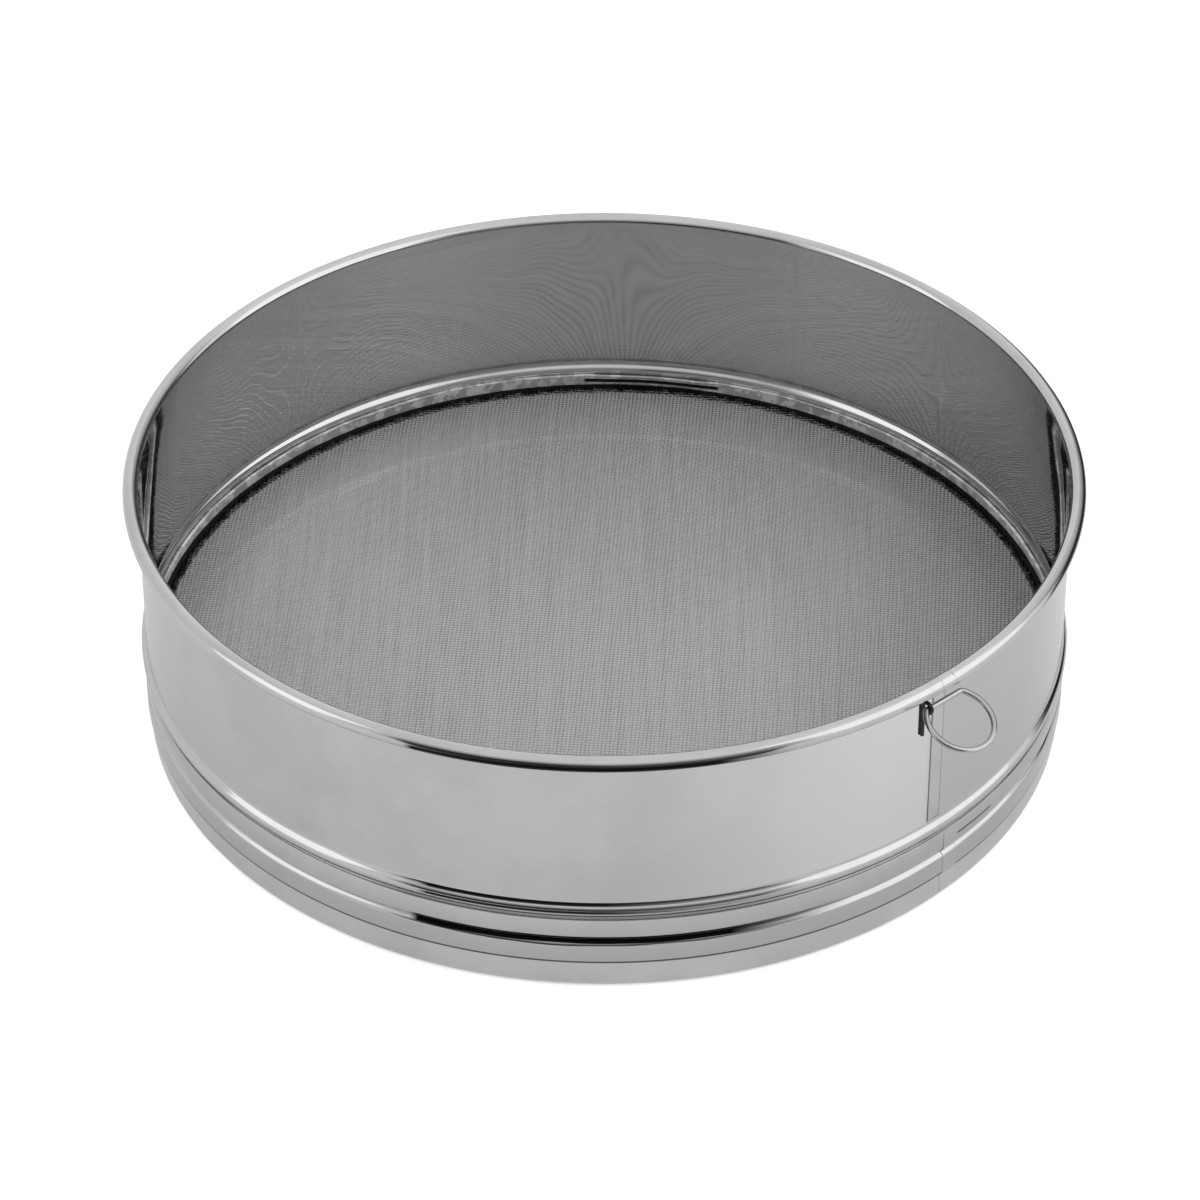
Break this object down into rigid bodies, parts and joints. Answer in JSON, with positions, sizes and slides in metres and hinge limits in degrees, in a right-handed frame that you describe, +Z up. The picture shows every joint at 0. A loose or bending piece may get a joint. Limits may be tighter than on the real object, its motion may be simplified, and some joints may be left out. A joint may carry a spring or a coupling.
{
  "type": "drum sieve",
  "caption": "Round shallow drum sieve in stainless steel sheet with a curled rim, a flat woven mesh clamped near the bottom and a hanging ring on the wall.",
  "frame": {"origin": "on the drum's axis, at the level of the base ring's foot that it stands on", "axes": "+Z up along the drum's axis to the rim; -Y is the front, and the seam with the hanging ring is on the front right, towards +X"},
  "size_m": [0.305, 0.305, 0.0907],
  "materials": {
    "polished_sheet": "bright rolled stainless sheet with faint smudges",
    "plain_wire": "drawn stainless wire, darkened by the weld",
    "bright_wire": "bright drawn stainless wire",
    "woven_wire": "fine woven stainless wire cloth"
  },
  "bodies": {
    "drum": {"drum_shell": "polished_sheet", "rim_wire": "plain_wire", "mesh_retainer": "polished_sheet", "sieve_mesh": "woven_wire", "base_ring": "polished_sheet", "clamp_band": "polished_sheet", "ring_hook": "plain_wire"},
    "ring": {"hanging_ring": "bright_wire"}
  },
  "joints": [
    {"name": "ring_swing", "type": "hinge", "parent": "drum", "child": "ring", "pos_m": [0.10163, -0.1113, 0.082], "axis": [-0.7385, -0.6743, 0], "range_deg": [-68, 85]}
  ]
}
